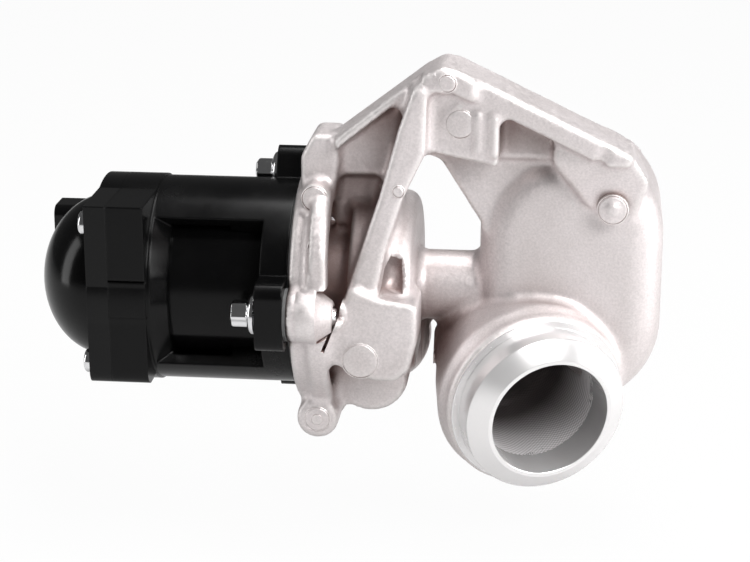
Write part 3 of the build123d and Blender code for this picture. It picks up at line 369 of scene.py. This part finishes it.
# ---------------------------------------------------------------- the casting
def cast_copy(node_name, voxel, closing, opening, removed, added):
    """Copy of a CAD solid with cast fillets in its corners and rounded edges."""
    remesh = ("REMESH", {"mode": "VOXEL", "voxel_size": voxel})
    source = bpy.data.objects.new("source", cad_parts[node_name].data.copy())
    bpy.context.scene.collection.objects.link(source)
    first = stacked(source, remesh)
    source.data = combined(combined(first, removed, "DIFFERENCE"), added, "UNION")
    mesh = stacked(source, remesh,
                   ("DISPLACE", {"strength": closing, "mid_level": 0.0}), remesh,
                   ("DISPLACE", {"strength": -closing - opening, "mid_level": 0.0}), remesh,
                   ("DISPLACE", {"strength": opening, "mid_level": 0.0}),
                   ("SMOOTH", {"factor": 0.5, "iterations": 3}))
    bpy.data.objects.remove(source)
    return mesh


PLANES = {"front": lambda a, b, depth: at(a, depth, b), "side": lambda a, b, depth: at(depth, a, b),
          "top": lambda a, b, depth: at(a, b, depth)}


def tool(name, work):
    """Closed solid that is cut from a mesh or joined to it."""
    bmesh.ops.recalc_face_normals(work, faces=work.faces)
    mesh = bpy.data.meshes.new(name)
    work.to_mesh(mesh)
    work.free()
    obj = bpy.data.objects.new(name, mesh)
    bpy.context.scene.collection.objects.link(obj)
    return obj


def prism(name, near, far, outline_points, plane="front"):
    """Solid between two depths, over an outline of (x, z) points, (y, z) for side or (x, y) for top."""
    work = bmesh.new()
    rings = []
    for depth in (near, far):
        rings.append([work.verts.new(PLANES[plane](a, b, depth)) for a, b in outline_points])
    count = len(outline_points)
    for k in range(count):
        m = (k + 1) % count
        work.faces.new((rings[0][k], rings[0][m], rings[1][m], rings[1][k]))
    work.faces.new(rings[0][::-1])
    work.faces.new(rings[1])
    return tool(name, work)


def combined(mesh, tools, operation):
    """Cuts the tools out of a mesh or joins them to it, one after the other, and drops them."""
    holder = bpy.data.objects.new("holder", mesh)
    bpy.context.scene.collection.objects.link(holder)
    for tool in tools:
        mesh = stacked(holder, ("BOOLEAN", {"object": tool, "operation": operation, "solver": "MANIFOLD"}))
        holder.data = mesh
    for obj in tools + [holder]:
        bpy.data.objects.remove(obj)
    return mesh


def cut_away(mesh, test):
    """Drops the faces whose middle passes the test."""
    work = bmesh.new()
    work.from_mesh(mesh)
    gone = [face for face in work.faces if test(face.calc_center_median())]
    bmesh.ops.delete(work, geom=gone, context="FACES")
    work.to_mesh(mesh)
    work.free()


TURNED_LENGTH = 10.6
TURNED_CLEARING = 29.0


def in_spigot(point):
    """Whether a place on the casting is where the turned end goes."""
    offset = point - SPIGOT_END
    along = -offset.dot(SPIGOT_AXIS)
    radial = (offset + SPIGOT_AXIS * along).length
    return along < TURNED_LENGTH * MM and radial < TURNED_CLEARING * MM


VOXEL = 0.00060
CLOSING = 0.0016         # fills corners narrower than twice this
OPENING = 0.0008         # rounds edges
BARREL = (21.5, -24.0, 11.3)  # exhaust barrel: x, z, radius


def barrel_arc(first, last, steps=24):
    """Points on the exhaust barrel's outside, seen from the front, between two angles in degrees."""
    turns = [radians(first + (last - first) * k / steps) for k in range(steps + 1)]
    return [(BARREL[0] + BARREL[2] * cos(turn), BARREL[1] + BARREL[2] * sin(turn)) for turn in turns]


removed_forms = [
    # the rail's end slopes down into the drum's front
    prism("slope", 73, 107, [(-50, 44), (-24, 44), (-16.3, 27), (-16.3, 20), (-50, 20)], "side"),
    # the exhaust barrel stands clear of the hose spigot
    prism("barrel_side", -17.5, 15.5, barrel_arc(222, 374) + [(41, -21), (41, -46), (13, -46)]),
]
added_forms = [
    # two low ridges on the bracket's bar
    prism("bar_ridge_left", -28.3, -20, [(52.2, 47.5), (52.2, 59), (53.6, 58.6), (53.6, 47.2)]),
    prism("bar_ridge_right", -28.6, -20, [(56.4, 46.4), (56.4, 58.4), (58.9, 57.6), (58.9, 45.8)]),
    # band down the front of the motor flange
    prism("flange_band", 6.0, 11.0, [(-35.0, 5), (-35.0, 18), (-33, 24), (-29, 29.5), (-21.5, 33.5),
                                     (-18, 33.5), (-27, 24), (-28, 5)], "side"),
    # straight left edge of the front plate beside the bolt
    prism("plate_edge", -32.9, -24, [(11.5, -7.5), (14.6, -0.6), (16.9, 7.6), (20.5, 7.6), (18.5, -7.5)]),
]
casting_mesh = cast_copy("valve_housing", VOXEL, CLOSING, OPENING, removed_forms, added_forms)
sharp_cuts = [
    # open gap between the valve body and the hose spigot
    prism("gap", -46, -11, [(36.9, -40), (36.5, -33), (34.7, -15), (34.3, 0), (34.1, 16),
                            (39.6, 16), (39.3, 0), (40.0, -15), (41.8, -33), (43, -40)], "top"),
    # slit between the bolt boss and the front plate
    prism("slit", -44, -25, [(16.3, 8.0), (14.1, -0.8), (10.3, -10.8), (9.4, -10.4), (11.2, -6.0),
                             (8.4, -7.6), (8.4, 8.0)]),
    # cored pocket beside the slanting rib
    prism("pocket", -42, -22.6, [(25.6, 5.6), (26.7, 12.2), (28.4, 15.4), (31.5, 14.3), (32.0, 5.2)]),
]
casting_mesh = combined(casting_mesh, sharp_cuts, "DIFFERENCE")
# crisp cone of the front bolt's boss
boss = bmesh.new()
lathe(boss, [(2.0, 7.0), (3.0, 7.7), (8.0, 7.7), (8.4, 7.5), (12.6, 4.5), (12.9, 4.0)],
      at(0, -BOLT_CIRCLE, 0), X, Y, 96)
casting_mesh = combined(casting_mesh, [tool("boss", boss)], "UNION")
cut_away(casting_mesh, in_spigot)
for vertex in casting_mesh.vertices:  # the drum's end stays inside the solid's reach
    vertex.co.x = min(vertex.co.x, cad_box[1][0])
casting = new_piece("casting", casting_mesh, cast, "housing")
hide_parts("valve_housing")

# turned end of the hose spigot, as (distance from the end, radius)
work = bmesh.new()
lathe(work, [(-s, r) for s, r in (
    (13.0, 17.47), (0.15, 17.47), (0.0, 17.62), (0.0, 18.7), (0.12, 18.95), (3.35, 23.85), (3.6, 24.0),
    (10.35, 24.0), (10.5, 24.15), (10.5, 25.9), (10.65, 26.05), (13.0, 26.05))],
      SPIGOT_END, SPIGOT_AXIS, SPIGOT_SIDE, 160, closed=True)
spigot = from_bmesh("spigot_turned_end", work, spigot_turned, "housing", 20)

# ---------------------------------------------------------------- ejector and core marks on the casting
MARKS = (  # name, x, distance of the face in front of the axis, z, radius, with an inner ring
    ("mark_pad", 44.5, 30.0, 67.4, 2.4, False), ("mark_bar", 47.9, 27.0, 55.5, 4.1, False),
    ("mark_rib", 31.2, 31.0, 36.5, 1.6, False), ("mark_flange", 6.5, 23.0, 31.6, 3.6, False),
    ("mark_flange_small", 7.4, 31.0, 19.9, 1.7, True), ("mark_ear", 6.5, 22.0, -36.0, 3.7, True),
    ("mark_plate", 20.5, 33.0, -13.3, 5.1, False), ("mark_drum", 91.0, 21.0, 30.2, 4.1, True),
)


def mark(name, x, front, z, radius, ringed):
    """Raised round ejector mark with a fine groove round it."""
    profile = [(-2.0, radius + 0.35), (0.12, radius + 0.35), (0.30, radius + 0.12), (0.12, radius - 0.05),
               (0.45, radius - 0.30), (0.52, radius - 0.55)]
    if ringed:
        profile += [(0.52, radius * 0.46), (0.80, radius * 0.40), (0.80, radius * 0.10)]
    else:
        profile += [(0.46, radius * 0.4), (0.44, radius * 0.05)]
    work = bmesh.new()
    lathe(work, profile, at(x, -front, z), -Y, X, 64)
    piece = from_bmesh(name, work, cast, "housing", 50)


for row in MARKS:
    mark(*row)


# ---------------------------------------------------------------- flanged star bolts
BOLT_BACK = -16.5
BOLT_END = 13.9
THREAD_RADIUS = 3.0
THREAD_START = 9.0
THREAD_PITCH = 1.0


def star(radius, turn):
    """Radius of a six-lobed outline."""
    return radius * (0.925 + 0.075 * cos(6 * turn))


def star_bolt(name, angle):
    """Bolt with a six-lobed head, a flange and a threaded tip."""
    origin = at(0, BOLT_CIRCLE * cos(angle), BOLT_CIRCLE * sin(angle))
    work = bmesh.new()
    lathe(work, [(BOLT_BACK + 0.8, 1.6), (BOLT_BACK + 0.25, 2.2), (BOLT_BACK, 2.7), (BOLT_BACK + 0.1, 3.2),
                 (BOLT_BACK + 0.5, 3.75), (BOLT_BACK + 1.0, 3.95), (-11.7, 3.95), (-11.2, 4.3)],
          origin, X, Y, 96, lobe=star)
    lathe(work, [(-11.6, 3.0), (-11.5, 4.3), (-11.1, 5.2), (-10.7, 5.75), (-10.2, 6.0), (-9.55, 6.0),
                 (-9.3, 5.8), (-9.3, 3.0)], origin, X, Y, 72)
    thread = [(-9.4, THREAD_RADIUS), (THREAD_START, THREAD_RADIUS)]
    crest = THREAD_START
    while crest + THREAD_PITCH < BOLT_END - 0.4:
        thread += [(crest + 0.45, 2.55), (crest + 0.55, 2.55), (crest + THREAD_PITCH, THREAD_RADIUS)]
        crest += THREAD_PITCH
    thread += [(BOLT_END - 0.4, 2.5), (BOLT_END, 2.2)]
    lathe(work, thread, origin, X, Y, 48)
    piece = from_bmesh(name, work, chrome, "housing", 30)
    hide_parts("actuator_bolts")


for bolt_name, degrees_round in (("bolt_front", 180), ("bolt_upper", 60), ("bolt_lower", 300)):
    star_bolt(bolt_name, radians(degrees_round))

# ---------------------------------------------------------------- return spring
coil_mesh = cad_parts["return_spring"].data.copy()
coils = new_piece("spring_coils", coil_mesh, steel, "housing")
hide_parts("return_spring")
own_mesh(coils)

# ---------------------------------------------------------------- floor, light, camera
def stage_material():
    n = Nodes("stage_white")
    n.tree.nodes.remove(n.shader)
    diffuse = n.tree.nodes.new("ShaderNodeBsdfDiffuse")
    diffuse.inputs["Color"].default_value = rgb(0.62, 0.62, 0.62)
    glow = n.tree.nodes.new("ShaderNodeEmission")
    glow.inputs["Color"].default_value = rgb(1, 1, 1)
    glow.inputs["Strength"].default_value = 1.0
    rays = n.tree.nodes.new("ShaderNodeLightPath")
    bounced = n.math("MAXIMUM", rays.outputs["Is Glossy Ray"], rays.outputs["Is Transmission Ray"])
    seen = n.math("MAXIMUM", rays.outputs["Is Camera Ray"], n.math("MULTIPLY", bounced, 0.24))
    blend = n.tree.nodes.new("ShaderNodeMixShader")
    n.link(n.math("MULTIPLY", seen, 0.96), blend.inputs[0])
    n.link(diffuse.outputs[0], blend.inputs[1])
    n.link(glow.outputs[0], blend.inputs[2])
    n.link(blend.outputs[0], n.out.inputs["Surface"])
    return n.material


work = bmesh.new()
bmesh.ops.create_grid(work, x_segments=8, y_segments=8, size=4.0)
bmesh.ops.translate(work, verts=work.verts, vec=(0, 0, cad_box[0][2] - 0.02))
floor_mesh = bpy.data.meshes.new("floor")
work.to_mesh(floor_mesh)
work.free()
floor_mesh.materials.append(stage_material())
floor = bpy.data.objects.new("floor", floor_mesh)
bpy.context.scene.collection.objects.link(floor)

world = bpy.data.worlds.new("studio")
bpy.context.scene.world = world
world.use_nodes = True
tree = world.node_tree
tree.nodes.clear()
out = tree.nodes.new("ShaderNodeOutputWorld")
back = tree.nodes.new("ShaderNodeBackground")
rays = tree.nodes.new("ShaderNodeLightPath")
level = tree.nodes.new("ShaderNodeMapRange")
level.inputs["To Min"].default_value = 0.09
level.inputs["To Max"].default_value = 1.0
tree.links.new(rays.outputs["Is Camera Ray"], level.inputs["Value"])
tree.links.new(level.outputs[0], back.inputs["Strength"])
back.inputs["Color"].default_value = rgb(1, 1, 1)
tree.links.new(back.outputs[0], out.inputs["Surface"])

middle = at(25, 0, 8)


def lamp(name, place, size, power):
    """Soft rectangular lamp that faces the object."""
    light = bpy.data.lights.new(name, "AREA")
    light.shape = "RECTANGLE"
    light.size, light.size_y = size
    light.energy = power
    obj = bpy.data.objects.new(name, light)
    bpy.context.scene.collection.objects.link(obj)
    obj.location = place
    obj.rotation_euler = (middle - Vector(place)).to_track_quat("-Z", "Y").to_euler()


lamp("key", (0.40, -0.60, 0.50), (0.45, 0.35), 6.4)
lamp("top", (0.05, 0.0, 0.75), (0.7, 0.4), 6.5)
lamp("left", (-0.70, -0.20, 0.15), (0.20, 0.7), 1.6)
lamp("right", (0.70, -0.10, 0.20), (0.3, 0.6), 3.7)

camera_data = bpy.data.cameras.new("camera")
camera_data.lens = 100.0
camera_data.sensor_width = 36.0
camera_data.clip_start = 0.01
camera = bpy.data.objects.new("camera", camera_data)
bpy.context.scene.collection.objects.link(camera)
camera.location = (0.00415, -0.6150, 0.1830)
turn, tilt = radians(6.0173), radians(17.62)
look = Vector((-sin(turn) * cos(tilt), cos(turn) * cos(tilt), -sin(tilt)))
camera.rotation_euler = look.to_track_quat("-Z", "Y").to_euler()
bpy.context.scene.camera = camera
bpy.context.scene.view_settings.view_transform = "Standard"
